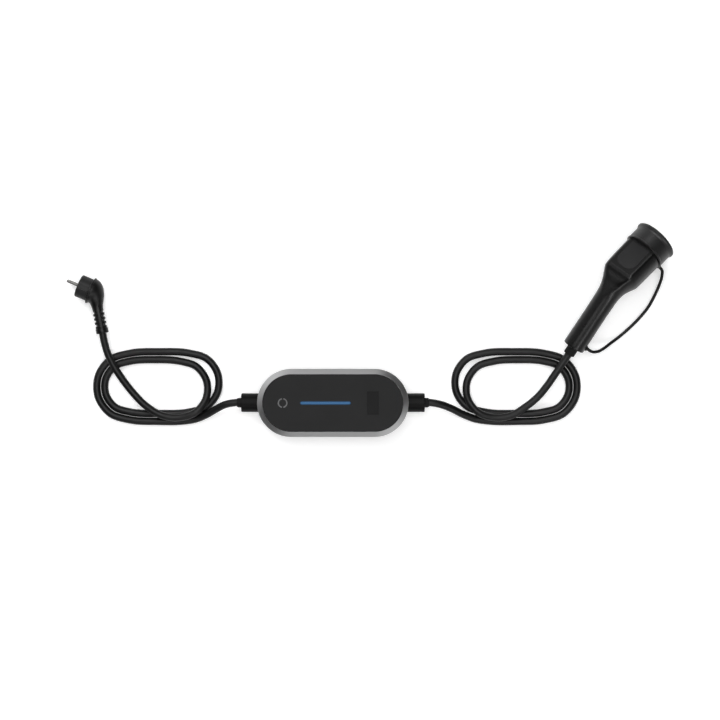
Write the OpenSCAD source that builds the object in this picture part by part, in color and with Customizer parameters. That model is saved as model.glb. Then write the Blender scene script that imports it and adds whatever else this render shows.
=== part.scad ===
/* [Control box] */
// Length of the control box, end to end
box_l = 240; // [220:1:280]
// Width of the control box
box_w = 108; // [104:1:112]
// Depth of the control box, back to front
box_h = 54; // [54:1:62]
// Wall thickness of the rear shell
wall = 3; // [2.4:0.1:3.6]
// Depth of the joint line between rear shell and bezel, below the bezel's lip
split_drop = 12; // [11:0.5:13]
// Rounding of the rear shell's back edge
back_edge = 6; // [3:0.5:8]

/* [Bezel and panel] */
// Visible width of the sloping bezel
bezel_w = 8.3; // [6:0.1:9]
// Depth of the sloping face of the bezel
bezel_slope_h = 6; // [4:0.2:6.4]
// Thickness of the front panel
panel_t = 3.2; // [2.8:0.1:3.4]
// Depth of the panel's face below the bezel's lip
panel_drop = 0.8; // [0.4:0.1:1]
// Width of the ledge that carries the panel
ledge_w = 7.7; // [7:0.1:9]
// Thickness of that ledge
ledge_t = 4; // [3.5:0.1:4.4]
// Length of the light bar
bar_l = 78.6; // [60:0.2:86]
// Width of the light bar
bar_w = 3.8; // [3.2:0.2:6]
// Place of the light bar's middle along the box
bar_x = -11.6; // [-14:0.1:-8]
// Outer diameter of the touch ring
ring_d = 15.5; // [13:0.5:18]
// Line width of the touch ring
ring_line = 2; // [1.4:0.1:2.6]
// Place of the touch ring along the box
ring_x = -79.3; // [-82:0.1:-72]
// Width of the display window
display_w = 18.6; // [15:0.2:20]
// Length of the display window
display_l = 37; // [30:0.5:40]
// Place of the display window along the box
display_x = 63.3; // [60:0.1:66]

/* [Cable] */
// Outside diameter of both cables
cable_d = 12; // [11.4:0.1:12]
// Diameter of each insulated conductor
wire_d = 3.4; // [2.8:0.1:3.6]
// Diameter of the gland stubs
gland_d = 30; // [26:0.5:31]
// Length of the gland stubs beyond the box ends
gland_l = 26; // [22:0.5:28]
// Diameter of the rubber collar on the cable
collar_d = 15.4; // [15:0.1:17]
// Length of that collar outside the gland
collar_l = 7; // [4:0.5:8]
// Height of the gland axis above the back face
gland_z = 26; // [24:0.5:27]

/* [Wall plug] */
// Diameter of the round contact pins
pin_d = 4.8; // [4:0.1:5]
// Length of the contact pins in front of the face
pin_l = 19; // [17:0.5:20]
// Distance between the contact pins
pin_pitch = 19; // [18:0.5:20]
// Diameter of the plug's face
face_d = 37; // [36:0.5:38]
// Distance from the face to the grip flange
face_depth = 20; // [18:0.5:22]
// Diameter of the grip flange
flange_d = 43; // [41:0.5:45]
// Diameter of the ribbed boot
boot_d = 18.6; // [17:0.2:20]
// Distance between the boot's ribs
rib_pitch = 6.9; // [6:0.1:7.4]

/* [Vehicle connector] */
// Diameter of the handle
handle_d = 35; // [33:0.5:36]
// Length of the handle behind the bend
handle_l = 134; // [128:1:140]
// Width of the connector's head
head_d = 64; // [62:0.5:66]
// Height of the flat top above the head's axis
flat_h = 22; // [21:0.5:24]
// Angle between handle and head
bend_angle = 27; // [24:1:30]
// Wall thickness of the connector's shells
shell_t = 3; // [2.4:0.1:3.4]
// Outside diameter of the nose that enters the vehicle
nose_d = 61; // [60:0.2:61.4]
// Length of the nose
nose_l = 26.5; // [25:0.5:28]
// Diameter of the cap's body
cap_d = 68; // [67.4:0.2:70]
// Diameter of the cap's front rim
rim_d = 72.4; // [71:0.2:74]
// Thickness of the cap's wall
cap_t = 2.8; // [2.4:0.1:3]
// Diameter of the tether between cap and handle
tether_d = 5; // [4:0.1:5.4]

/* [Clearances] */
// Gap around pieces that drop into a recess
fit_gap = 0.2; // [0.1:0.05:0.3]
// Gap around pieces that slide on each other
slide_gap = 0.4; // [0.3:0.05:0.5]

/* [Hidden] */
$fn = 48;
eps = 0.01;

// Control box heights and outlines
end_r = box_w / 2;
half_run = (box_l - box_w) / 2;
inner_r = end_r - wall;
opening_r = end_r - bezel_w;
panel_r = opening_r - fit_gap;
panel_top = box_h - panel_drop;
panel_z = panel_top - panel_t;
ledge_z = panel_z - ledge_t;
ledge_r = opening_r - ledge_w;
split_h = box_h - split_drop;
gasket_w = 1.2;
gasket_h = 0.9;
gasket_r = end_r - wall / 2;

// Screw posts of the box, one list of places for the posts, the screws and their holes
post_r = 4.5;
post_y = ledge_r + post_r - 0.2;
post_places = [for (x = [-half_run, 0, half_run]) for (y = [-post_y, post_y]) [x, y]];
screw_r = 1.5;
screw_head_r = 2.8;
screw_head_h = 2.4;
screw_recess_h = 3.2;
screw_bite = 3;

// Boards inside the box
board_t = 1.6;
standoff_h = 6;
main_z = wall + standoff_h;
main_top = main_z + board_t;
main_l = 186;
main_w = 70;
standoff_r = 3.5;
standoff_places = [for (x = [-1, 1]) for (y = [-1, 1]) [x * (main_l / 2 - 6), y * (main_w / 2 - 6)]];
panel_board_l = 178;
panel_board_w = 52;
panel_board_drop = 4.6;
panel_board_top = panel_z - panel_board_drop;
panel_board_z = panel_board_top - board_t;
panel_post_places = [for (x = [-1, 1]) for (y = [-1, 1])
    [x * (panel_board_l / 2 - 8), y * (panel_board_w / 2 - 6)]];
glass_t = 1.4;
icon_t = 0.6;
led_size = 2.8;
led_h = 1;
led_count = 8;

// Places and sizes of what stands on the main board
relay_h = 24;
line_relay_at = [-8, 17];
neutral_relay_at = [-8, -17];
sensor_at = [-44, 0];
sensor_bore_r = 9;
sensor_ring_w = 7;
sensor_h = 12;
transformer_at = [34, -14];
capacitor_at = [34, 18];
varistor_at = [-62, 24];
terminal_x = 80;
terminal_l = 16;
terminal_h = 16;
terminal_pitch = 9;
terminal_wire_h = 8;
wire_bite = 6;
wire_lay_y = 2.4;
wire_lay_z = 1.9;

// Glands: the spigot passes through the wall, the nut holds it from inside
spigot_r = 10;
spigot_l = 11;
gland_seat = 6;
nut_r = 13.5;
jacket_end_x = box_l / 2 - 16;

// Wall plug, in its own frame: face at the origin, pins along +X, cable towards -X and +Y
plug_at = [-406, 187, flange_d / 2];
plug_heading = 157;
flange_t = 3;
pin_tip = 1.2;
pin_shank_r = 2;
pin_root = 14;
earth_offset = 10;
earth_bore_r = 2.5;
earth_sleeve_r = 3.3;
earth_depth = 16;
clip_w = 6.4;
clip_t = 0.8;
clip_recess = 2.4;
guide_w = 8;
guide_depth = 3;
boot_angle = 124.2;
neck_at = [-40, 18.6];
neck_l = 9;
rib_count = 4;
rib_groove_w = 2.6;
rib_groove_depth = 1.9;
boot_collar_l = 7.9;
boot_collar_extra = 0.6;
boot_l = neck_l + rib_count * rib_pitch + boot_collar_l;
boot_grip = 30;

// Vehicle connector, in its own frame: bend at the origin, head along +X, flat top towards +Z
connector_heading = 45;
connector_pitch = 12;
connector_roll = 28;
head_front_x = 56;
crease_x = 4;
cap_gap = 1;
nose_gap = 1.8;
cap_x = head_front_x + cap_gap;
cap_front_x = head_front_x + nose_l + nose_gap + cap_t;
connector_at = [453.5, 199.4,
    rim_d / 2 * cos(connector_pitch) + cap_front_x * sin(connector_pitch)];
bush_d = 18.4;
bush_l = 14;
bush_root = 22;
plate_w = 35;
plate_l = 36;
plate_t = 0.8;
plate_corner = 14;
nose_wall = 2.8;
nose_base_t = 5;
nose_flat_h = 21.5;
nose_step = 1;
wire_way_r = 24;
wire_way_flat = flat_h - 5.4;
carrier_recess = 2;
contact_inset = 1;
wire_bunch = 0.26;
signal_wire_r = 1;
power_r = 4;
power_bore_r = 3;
signal_r = 2.6;
signal_bore_r = 1.5;
contact_depth = 17;
power_places = [[-15, 0], [0, 0], [15, 0]];
blank_places = [[-8, -15], [8, -15]];
signal_places = [[-7, 13], [7, 13]];

// Solid whose plan is a round-ended slot and whose edge follows a half profile of [radius, height]
module slot_solid(profile, run) {
    for (x = [-run, run])
        translate([x, 0, 0])
            rotate_extrude($fn = 96)
                polygon(profile);
    translate([run, 0, 0])
        rotate([90, 0, -90])
            linear_extrude(2 * run)
                union() {
                    polygon(profile);
                    mirror([1, 0])
                        polygon(profile);
                }
}

// Flat plate with round ends
module slot_plate(l, w, z, t) {
    translate([0, 0, z])
        linear_extrude(t)
            slot_outline(l, w);
}

module slot_outline(l, w) {
    square([l - w, w], center = true);
    for (x = [-1, 1])
        translate([x * (l - w) / 2, 0])
            circle(d = w, $fn = 64);
}

// Box with its four upright edges rounded
module soft_block(l, w, h, r) {
    linear_extrude(h)
        union() {
            square([l - 2 * r, w], center = true);
            square([l, w - 2 * r], center = true);
            for (x = [-1, 1])
                for (y = [-1, 1])
                    translate([x * (l / 2 - r), y * (w / 2 - r)])
                        circle(r, $fn = 24);
        }
}

// Points of a quarter round from one angle to another, for edge profiles
function arc_points(c, r, a0, a1, n) =
    [for (i = [0:n]) let (a = a0 + (a1 - a0) * i / n) c + r * [cos(a), sin(a)]];

module each_place(places, z = 0) {
    for (p = places)
        translate([p[0], p[1], z])
            children();
}

module rear_shell() {
    outer = concat([[0, 0]], arc_points([end_r - back_edge, back_edge], back_edge, -90, 0, 6),
        [[end_r, split_h], [0, split_h]]);
    inside_edge = max(back_edge - wall, 1);
    inner = concat([[0, wall]],
        arc_points([inner_r - inside_edge, wall + inside_edge], inside_edge, -90, 0, 4),
        [[inner_r, split_h + 1], [0, split_h + 1]]);
    color([0.09, 0.09, 0.1])
        difference() {
            union() {
                difference() {
                    slot_solid(outer, half_run);
                    slot_solid(inner, half_run);
                }
                each_place(post_places, wall - eps)
                    cylinder(r = post_r, h = ledge_z - wall + eps);
                each_place(standoff_places, wall - eps)
                    cylinder(r = standoff_r, h = standoff_h + eps);
            }
            each_place(post_places, -1) {
                cylinder(r = screw_r + fit_gap, h = box_h);
                cylinder(r = screw_head_r + fit_gap, h = 1 + screw_recess_h);
            }
            for (s = [-1, 1])
                translate([s * (box_l / 2 - 3 * wall), 0, gland_z])
                    rotate([0, s * 90, 0])
                        cylinder(r = spigot_r + fit_gap, h = 6 * wall);
        }
}

module bezel_frame() {
    slope_z = box_h - bezel_slope_h;
    section = [[end_r, split_h], [end_r, slope_z], [opening_r, box_h], [opening_r, panel_z],
        [ledge_r, panel_z], [ledge_r, ledge_z], [inner_r, ledge_z], [inner_r, split_h],
        [gasket_r - gasket_w / 2, split_h], [gasket_r - gasket_w / 2, split_h + gasket_h],
        [gasket_r + gasket_w / 2, split_h + gasket_h], [gasket_r + gasket_w / 2, split_h]];
    color([0.55, 0.55, 0.56])
        difference() {
            slot_ring(section);
            each_place(post_places, ledge_z - 1)
                cylinder(r = screw_r, h = 1 + screw_bite);
        }
}

// Ring that runs round the box, from a section that stays off the middle
module slot_ring(section) {
    for (s = [0, 1])
        rotate([0, 0, s * 180])
            translate([half_run, 0, 0])
                rotate([0, 0, -90])
                    rotate_extrude(angle = 180, $fn = 96)
                        polygon(section);
    for (s = [0, 1])
        rotate([0, 0, s * 180])
            translate([half_run, 0, 0])
                rotate([90, 0, -90])
                    linear_extrude(2 * half_run)
                        mirror([1, 0])
                            polygon(section);
}

module front_panel() {
    color([0.03, 0.03, 0.032])
        union() {
            difference() {
                slot_plate(2 * (half_run + panel_r), 2 * panel_r, panel_z, panel_t);
                translate([bar_x, 0, 0])
                    slot_plate(bar_l + 2 * fit_gap, bar_w + 2 * fit_gap, panel_z - 1, panel_t + 2);
                translate([ring_x, 0, panel_top - icon_t])
                    ring_arcs(fit_gap / 2, icon_t + 1);
                translate([display_x, 0, panel_top - glass_t])
                    soft_block(display_w + 2 * fit_gap, display_l + 2 * fit_gap, glass_t + 1, 1);
                translate([display_x, 0, panel_z - 1])
                    soft_block(display_w - 3, display_l - 3, panel_t + 1, 0.5);
            }
            each_place(panel_post_places, panel_board_top)
                cylinder(r = 2.5, h = panel_board_drop + eps);
        }
}

module light_bar() {
    foot_h = 1;
    color([0.04, 0.22, 0.5])
        translate([bar_x, 0, 0])
            union() {
                slot_plate(bar_l, bar_w, panel_z - eps, panel_t + eps);
                slot_plate(bar_l + 4, bar_w + 4, panel_z - foot_h, foot_h);
            }
}

// The touch mark: a ring open at its top and bottom
module ring_arcs(grow, h) {
    gap_angle = 10;
    for (a = [-90 + gap_angle, 90 + gap_angle])
        rotate([0, 0, a])
            rotate_extrude(angle = 180 - 2 * gap_angle, $fn = 64)
                translate([ring_d / 2 - ring_line - grow, 0])
                    square([ring_line + 2 * grow, h]);
}

module touch_ring() {
    color([0.25, 0.25, 0.26])
        translate([ring_x, 0, panel_top - icon_t])
            ring_arcs(0, icon_t);
}

module display_window() {
    color([0.012, 0.012, 0.014])
        translate([display_x, 0, panel_top - glass_t])
            soft_block(display_w, display_l, glass_t, 0.8);
}

module display_module() {
    color([0.05, 0.06, 0.08])
        translate([display_x, 0, panel_board_top])
            soft_block(display_w + 4, display_l + 4, panel_board_drop - 0.3, 0.6);
}

module panel_board() {
    color([0.02, 0.2, 0.1])
        difference() {
            translate([0, 0, panel_board_z])
                soft_block(panel_board_l, panel_board_w, board_t, 4);
            each_place(panel_post_places, panel_board_z - 1)
                cylinder(r = 1.1, h = board_t + 2, $fn = 24);
        }
}

module touch_electrode() {
    color([0.7, 0.45, 0.2])
        translate([ring_x, 0, panel_board_top])
            cylinder(d = ring_d, h = panel_board_drop);
}

module leds() {
    color([0.9, 0.9, 0.8])
        for (i = [0:led_count - 1])
            translate([bar_x + bar_l * ((i + 0.5) / led_count - 0.5), 0, panel_board_top + led_h / 2])
                cube([led_size, led_size, led_h], center = true);
}

module main_board() {
    color([0.02, 0.24, 0.12])
        difference() {
            translate([0, 0, main_z])
                soft_block(main_l, main_w, board_t, 5);
            each_place(standoff_places, main_z - 1)
                cylinder(r = 1.6, h = board_t + 2, $fn = 24);
        }
}

// Power relay with a stepped lid
module relay(place) {
    translate([place[0], place[1], main_top]) {
        soft_block(30, 20, relay_h, 1.2);
        translate([0, 0, relay_h - eps])
            soft_block(26, 16, 1, 1);
    }
}

module line_relay() {
    color([0.05, 0.1, 0.3])
        relay(line_relay_at);
}

module neutral_relay() {
    color([0.05, 0.1, 0.3])
        relay(neutral_relay_at);
}

module residual_current_sensor() {
    color([0.12, 0.12, 0.13])
        translate([sensor_at[0], sensor_at[1], main_top])
            rotate_extrude()
                translate([sensor_bore_r, 0])
                    polygon(concat([[0, 1], [1, 0]], [[sensor_ring_w - 1, 0], [sensor_ring_w, 1]],
                        [[sensor_ring_w, sensor_h - 1], [sensor_ring_w - 1, sensor_h]],
                        [[1, sensor_h], [0, sensor_h - 1]]));
}

module supply_transformer() {
    core_h = 16;
    color([0.8, 0.65, 0.1])
        translate([transformer_at[0], transformer_at[1], main_top]) {
            soft_block(20, 26, core_h + 4, 2);
            translate([0, 0, 4])
                soft_block(32, 18, core_h - 4, 1);
        }
}

module supply_capacitor() {
    color([0.1, 0.1, 0.25])
        translate([capacitor_at[0], capacitor_at[1], main_top])
            rotate_extrude()
                polygon([[0, 0], [6.6, 0], [7, 0.4], [7, 2], [6.6, 2.6], [7, 3.2], [7, 23.4], [6.4, 24],
                    [0, 24]]);
}

module surge_varistor() {
    disc_r = 7;
    disc_t = 4.4;
    color([0.1, 0.25, 0.6])
        translate([varistor_at[0], varistor_at[1], main_top]) {
            translate([-disc_t / 2, 0, disc_r + 2])
                rotate([0, 90, 0])
                    cylinder(r = disc_r, h = disc_t);
            for (y = [-3.5, 3.5])
                translate([0, y, 0])
                    cylinder(r = 0.5, h = 4, $fn = 16);
        }
}

// Row of screw terminals, with a wire hole and a screw well for each way
module terminal_block(side, ways) {
    translate([side * terminal_x, 0, main_top])
        difference() {
            soft_block(terminal_l, ways * terminal_pitch + 2, terminal_h, 0.8);
            for (i = [0:ways - 1])
                translate([0, terminal_pitch * (i - (ways - 1) / 2), 0]) {
                    translate([0, 0, terminal_h - 3])
                        cylinder(r = 2.6, h = 4, $fn = 24);
                    translate([side * (terminal_l / 2 - wire_bite), 0, terminal_wire_h])
                        rotate([0, side * 90, 0])
                            cylinder(d = wire_d + 2 * fit_gap, h = wire_bite + 1, $fn = 24);
                }
        }
}

module terminal_block_in() {
    color([0.1, 0.4, 0.2])
        terminal_block(-1, 3);
}

module terminal_block_out() {
    color([0.1, 0.4, 0.2])
        terminal_block(1, 4);
}

// Insulated conductors between a cable's cut end and its terminal block
module conductors(side, ways) {
    z_end = main_top + terminal_wire_h;
    x_end = terminal_x + terminal_l / 2 - wire_bite + 0.5;
    x_mid = (jacket_end_x + terminal_x + terminal_l / 2) / 2;
    for (i = [0:ways - 1]) {
        row = i - (ways - 1) / 2;
        y_start = row * wire_lay_y;
        y_end = row * terminal_pitch;
        z_start = gland_z + (i % 2 == 0 ? wire_lay_z : -wire_lay_z);
        tube([[side * jacket_end_x, y_start, z_start], [side * (jacket_end_x - 3), y_start, z_start],
            [side * x_mid, (y_start + y_end) / 2, (z_start + z_end) / 2],
            [side * (terminal_x + terminal_l / 2 + 3), y_end, z_end], [side * x_end, y_end, z_end]],
            wire_d / 2, 8);
    }
}

module inlet_conductors() {
    color([0.3, 0.2, 0.1])
        conductors(-1, 3);
}

module outlet_conductors() {
    color([0.3, 0.2, 0.1])
        conductors(1, 4);
}

module housing_gasket() {
    in_r = gasket_r - gasket_w / 2 + 0.05;
    out_r = gasket_r + gasket_w / 2 - 0.05;
    color([0.05, 0.05, 0.05])
        slot_ring([[in_r, split_h], [out_r, split_h], [out_r, split_h + gasket_h - 0.05],
            [in_r, split_h + gasket_h - 0.05]]);
}

module cover_screws() {
    top = ledge_z + screw_bite - 0.4;
    color([0.6, 0.6, 0.62])
        each_place(post_places, screw_recess_h - screw_head_h)
            difference() {
                union() {
                    cylinder(r = screw_head_r, h = screw_head_h);
                    cylinder(r = screw_r - 0.05, h = top - screw_recess_h + screw_head_h);
                }
                translate([0, 0, -eps])
                    cylinder(r = 1.2, h = 1.6, $fn = 6);
            }
}

// Hollow gland: a stub that seats on the round end of the box and a spigot through its wall
module gland(side) {
    difference() {
        at_gland(side)
            translate([0, 0, -gland_seat])
                rotate_extrude()
                    polygon([[0, 0], [gland_d / 2, 0], [gland_d / 2, gland_seat + gland_l - 0.8],
                        [gland_d / 2 - 0.8, gland_seat + gland_l], [0, gland_seat + gland_l]]);
        translate([side * half_run, 0, -1])
            cylinder(r = end_r, h = box_h, $fn = 96);
        gland_bore(side);
    }
    difference() {
        at_gland(side)
            translate([0, 0, -spigot_l])
                cylinder(r = spigot_r, h = spigot_l + gland_l / 2);
        gland_bore(side);
    }
}

module gland_bore(side) {
    at_gland(side)
        translate([0, 0, -spigot_l - 1])
            cylinder(r = collar_d / 2 + 0.05, h = spigot_l + gland_l + 2);
}

// Frame at a gland: its axis points out of the box end
module at_gland(side) {
    translate([side * box_l / 2, 0, gland_z])
        rotate([0, side * 90, 0])
            children();
}

module gland_plug_side() {
    color([0.025, 0.025, 0.027])
        gland(-1);
}

module gland_connector_side() {
    color([0.025, 0.025, 0.027])
        gland(1);
}

module gland_nuts() {
    color([0.05, 0.05, 0.05])
        for (side = [-1, 1])
            difference() {
                intersection() {
                    at_gland(side)
                        translate([0, 0, -spigot_l + 1])
                            cylinder(r = nut_r, h = spigot_l, $fn = 6);
                    translate([side * half_run, 0, 0])
                        cylinder(r = inner_r, h = box_h, $fn = 96);
                }
                at_gland(side)
                    translate([0, 0, -spigot_l - 1])
                        cylinder(r = spigot_r + 0.05, h = spigot_l + 2);
            }
}

module gland_seals() {
    bore_r = cable_d / 2 + 0.05;
    full = spigot_l + gland_l + collar_l;
    color([0.02, 0.02, 0.02])
        for (side = [-1, 1])
            at_gland(side)
                translate([0, 0, -spigot_l])
                    rotate_extrude()
                        polygon([[bore_r, 0], [collar_d / 2, 0], [collar_d / 2, full - 2],
                            [collar_d / 2 - 0.9, full], [bore_r, full]]);
}

// Unit vector and ring helpers for swept and lofted skins
function unit(v) = v / norm(v);
function path_dir(pts, i) =
    let (last = len(pts) - 1)
    i == 0 ? unit(pts[1] - pts[0]) :
    i == last ? unit(pts[last] - pts[last - 1]) :
    unit(unit(pts[i + 1] - pts[i]) + unit(pts[i] - pts[i - 1]));
function side_of(d) = unit(cross([0, 0, 1], d));
function ring_at(p, d, r, sides) =
    let (u = side_of(d), v = cross(d, u))
    [for (k = [0:sides - 1]) let (a = 360 * (k + 0.5) / sides) p + r * (cos(a) * u + sin(a) * v)];
function skin_sides(rings, n) =
    [for (i = [0:rings - 2]) for (k = [0:n - 1])
        let (j = (k + 1) % n, a = i * n, b = (i + 1) * n)
        each [[a + k, b + k, b + j], [a + k, b + j, a + j]]];
function skin_faces(rings, n) =
    concat(skin_sides(rings, n), [[for (k = [0:n - 1]) k]],
        [[for (k = [n - 1:-1:0]) (rings - 1) * n + k]]);

// Closed skin over a list of rings that all have the same number of points
module skin(rings) {
    n = len(rings[0]);
    polyhedron(points = [for (r = rings) each r], faces = skin_faces(len(rings), n), convexity = 6);
}

// Closed skin over half sections: the first half of each ring is its outer edge, the rest its inner edge
module half_skin(rings) {
    n = len(rings[0]);
    last = (len(rings) - 1) * n;
    strip = [for (k = [0:n / 2 - 2]) each [[k, k + 1, n - 1 - k], [k + 1, n - 2 - k, n - 1 - k]]];
    end_strip = [for (t = strip) [last + t[2], last + t[1], last + t[0]]];
    polyhedron(points = [for (r = rings) each r], faces = concat(skin_sides(len(rings), n), strip, end_strip),
        convexity = 6);
}

// Round tube along a list of points
module tube(pts, r, sides) {
    skin([for (i = [0:len(pts) - 1]) ring_at(pts[i], path_dir(pts, i), r, sides)]);
}

// Places in the plug's and the connector's own frames
function turn_z(a, v) = [v[0] * cos(a) - v[1] * sin(a), v[0] * sin(a) + v[1] * cos(a), v[2]];
function turn_y(a, v) = [v[0] * cos(a) + v[2] * sin(a), v[1], -v[0] * sin(a) + v[2] * cos(a)];
function turn_x(a, v) = [v[0], v[1] * cos(a) - v[2] * sin(a), v[1] * sin(a) + v[2] * cos(a)];
function plug_point(v) = plug_at + turn_z(plug_heading, v);
function connector_point(v) =
    connector_at + turn_z(connector_heading, turn_y(connector_pitch, turn_x(-connector_roll, v)));
function handle_point(s) = [-s * cos(bend_angle), 0, -s * sin(bend_angle)];
boot_dir = [cos(boot_angle), sin(boot_angle)];
boot_exit = [neck_at[0] + boot_l * boot_dir[0], neck_at[1] + boot_l * boot_dir[1], 0];
boot_inside = boot_exit - (boot_grip - 2) * [boot_dir[0], boot_dir[1], 0];
jacket_end_s = handle_l - 54;
anchor_s = handle_l - 9;
anchor_l = 4;
anchor_r = 4.4;
anchor_seat = handle_d / 2 + 0.5;
anchor_turn = -33;
anchor_side = [-sin(anchor_turn) * sin(bend_angle), -cos(anchor_turn), sin(anchor_turn) * cos(bend_angle)];
anchor_tip = handle_point(anchor_s) + (anchor_seat + anchor_l) * anchor_side;
lug_x = cap_x + 6;
lug_l = 4;
lug_r = 4.2;
lug_turn = -48;
lug_side = [0, -cos(lug_turn), sin(lug_turn)];
lug_tip = [lug_x, 0, 0] + (cap_d / 2 + lug_l) * lug_side;
tether_gap = 0.35;
tether_lead = 6;

// Half a turn of cable, from one straight run to the next
function u_turn(x, y0, y1, side, z) =
    let (c = (y0 + y1) / 2, r = abs(y1 - y0) / 2, s = y1 > y0 ? -90 : 90, n = len(z) - 1)
    [for (i = [0:n]) let (a = s * (1 - 2 * i / n)) [x + side * r * cos(a), c + r * sin(a), z[i]]];

// The loose coil on the plug's side: two turns beside each other and a last half turn on top
floor_z = 6;
over_z = 18.8;
rest_z = 17.2;
coil_far_x = -326;
coil_near_x = -230;
coil_last_x = -246;
outer_low_y = -28;
inner_low_y = -15.2;
outer_high_y = 78.8;
inner_high_y = 66;
last_low_y = -24;
run_bow = 2.5;
flat_turn = [for (i = [0:5]) floor_z];
climbing_turn = [floor_z, floor_z, 7, 12.5, over_z, rest_z];
coil_turns = concat(
    u_turn(coil_far_x, outer_low_y, outer_high_y, -1, flat_turn),
    [[-278, outer_high_y + run_bow, floor_z]],
    u_turn(coil_near_x, outer_high_y, inner_low_y, 1, flat_turn),
    [[-278, inner_low_y - run_bow, floor_z]],
    u_turn(coil_far_x, inner_low_y, inner_high_y, -1, flat_turn),
    [[-286, inner_high_y + run_bow, floor_z]],
    u_turn(coil_last_x, inner_high_y, last_low_y, 1, climbing_turn));
coil_mirror_x = 12;
mirrored_turns = [for (p = coil_turns) [coil_mirror_x - p[0], p[1], p[2]]];

plug_lead = [[-104, 0, 26], [-130, 0, 26], [-156, 0, 26], [-172, -3, 23.5], [-188, -11, 17.5],
    [-204, -20, 11], [-220, -26.5, 7], [-242, -30, 6], [-282, -30.5, 6]];
plug_tail = [[-272, -21, 17.8], [-298, -6, 18.6], [-320, 16, 18.8], [-337, 38, 19], [-350, 58, 19.4],
    [-360, 79, 20.2], [-365.4, 98, 21.2]];
connector_lead = [[104, 0, 26], [130, 0, 26], [156, 0, 26], [172, -3, 23.5], [190, -10, 18],
    [208, -19, 11.5], [228, -26.5, 7], [252, -30, 6], [292, -30.5, 6]];
connector_tail = [[284, -21, 17.8], [306, -8, 18.5], [326, 8, 18.8], [342, 27, 19.1], [355, 46, 19.8]];
plug_route = concat(plug_lead, coil_turns, plug_tail, [plug_point(boot_exit), plug_point(boot_inside)]);
connector_route = concat(connector_lead, mirrored_turns, connector_tail,
    [connector_point(handle_point(handle_l + bush_l)), connector_point(handle_point(jacket_end_s))]);
tether_route = concat(
    [connector_point(lug_tip + tether_gap * lug_side), connector_point(lug_tip + tether_lead * lug_side)],
    [[525, 202, 20.5], [522, 188, 12], [516, 172, 4.6], [505, 152, 2.8], [492, 136, 2.8], [475, 119, 2.8],
    [458, 104.5, 3], [445, 95, 6.5], [433, 86.5, 13.5], [422.5, 81.5, 20]],
    [connector_point(anchor_tip + tether_lead * anchor_side),
    connector_point(anchor_tip + tether_gap * anchor_side)]);

module plug_cable() {
    color([0.018, 0.018, 0.018])
        tube(plug_route, cable_d / 2, 10);
}

module connector_cable() {
    color([0.018, 0.018, 0.018])
        tube(connector_route, cable_d / 2, 10);
}

module tether() {
    color([0.03, 0.03, 0.03])
        tube(tether_route, tether_d / 2, 8);
}

module at_plug() {
    translate(plug_at)
        rotate([0, 0, plug_heading])
            children();
}

module at_connector() {
    translate(connector_at)
        rotate([-connector_roll, connector_pitch, connector_heading])
            children();
}

// Frame on the handle's axis, pointing from the bend to the cable
module at_handle(s) {
    translate(handle_point(s))
        rotate([0, -90 - bend_angle, 0])
            children();
}

// Elbow of the plug: [x, y, facing angle, radius] from the grip flange to the neck
elbow_stations = [[-22.6, 0, 180, 20.6], [-25, 0.4, 175, 20.2], [-29, 2.2, 163, 18.4], [-33, 6.5, 146, 15],
    [-36.5, 12, 131, 11.6], [-40, 18.6, boot_angle, 9.3], [-42.2, 21.9, boot_angle, 8.9]];

module plug_body() {
    elbow_rings = [for (e = elbow_stations) ring_at([e[0], e[1], 0], [cos(e[2]), sin(e[2]), 0], e[3], 32)];
    r = boot_d / 2;
    collar_r = r + boot_collar_extra;
    rib_outline = [for (i = [0:rib_count - 1]) each
        let (z = neck_l + i * rib_pitch)
        [[r - rib_groove_depth, z], [r - rib_groove_depth, z + rib_groove_w],
            [r, z + rib_groove_w + 0.4], [r, z + rib_pitch - 0.4]]];
    color([0.02, 0.02, 0.022])
        at_plug() {
            skin(elbow_rings);
            translate([-face_depth, 0, 0])
                rotate([0, -90, 0])
                    rotate_extrude()
                        polygon([[0, 0], [flange_d / 2 - 0.6, 0], [flange_d / 2, 0.6], [flange_d / 2, 2],
                            [flange_d / 2 - 1, flange_t], [0, flange_t]]);
            translate([neck_at[0], neck_at[1], 0])
                rotate([0, 90, boot_angle])
                    rotate_extrude()
                        polygon(concat([[0, 1], [r - 0.4, 1], [r - 0.6, neck_l - 1]], rib_outline,
                            [[collar_r, boot_l - boot_collar_l], [collar_r, boot_l - 0.8],
                            [collar_r - 0.8, boot_l]],
                            [[cable_d / 2 + 0.05, boot_l], [cable_d / 2 + 0.05, boot_l - boot_grip],
                            [0, boot_l - boot_grip]]));
        }
}

module plug_insert() {
    face_r = face_d / 2;
    edge = 1.4;
    color([0.025, 0.025, 0.027])
        at_plug()
            difference() {
                rotate([0, -90, 0])
                    rotate_extrude()
                        polygon([[0, 0], [face_r - edge, 0], [face_r, edge], [face_r, face_depth],
                            [0, face_depth]]);
                for (z = [-1, 1])
                    translate([0, 0, z * pin_pitch / 2])
                        rotate([0, -90, 0])
                            translate([0, 0, -1])
                                cylinder(r = pin_shank_r + 0.05, h = pin_root + 1.2);
                translate([0, -earth_offset, 0])
                    rotate([0, -90, 0])
                        translate([0, 0, -1])
                            cylinder(r = earth_sleeve_r + 0.05, h = earth_depth + 1);
                for (y = [-1, 1])
                    translate([-face_depth / 2, y * (face_r - clip_recess / 2 + 1), 0])
                        cube([face_depth + 2, clip_recess + 2, clip_w + 2 * fit_gap], center = true);
                for (z = [-1, 1])
                    translate([-face_depth / 2, 0, z * (face_r - guide_depth / 2 + 1)])
                        cube([face_depth + 2, guide_w, guide_depth + 2], center = true);
            }
}

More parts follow.
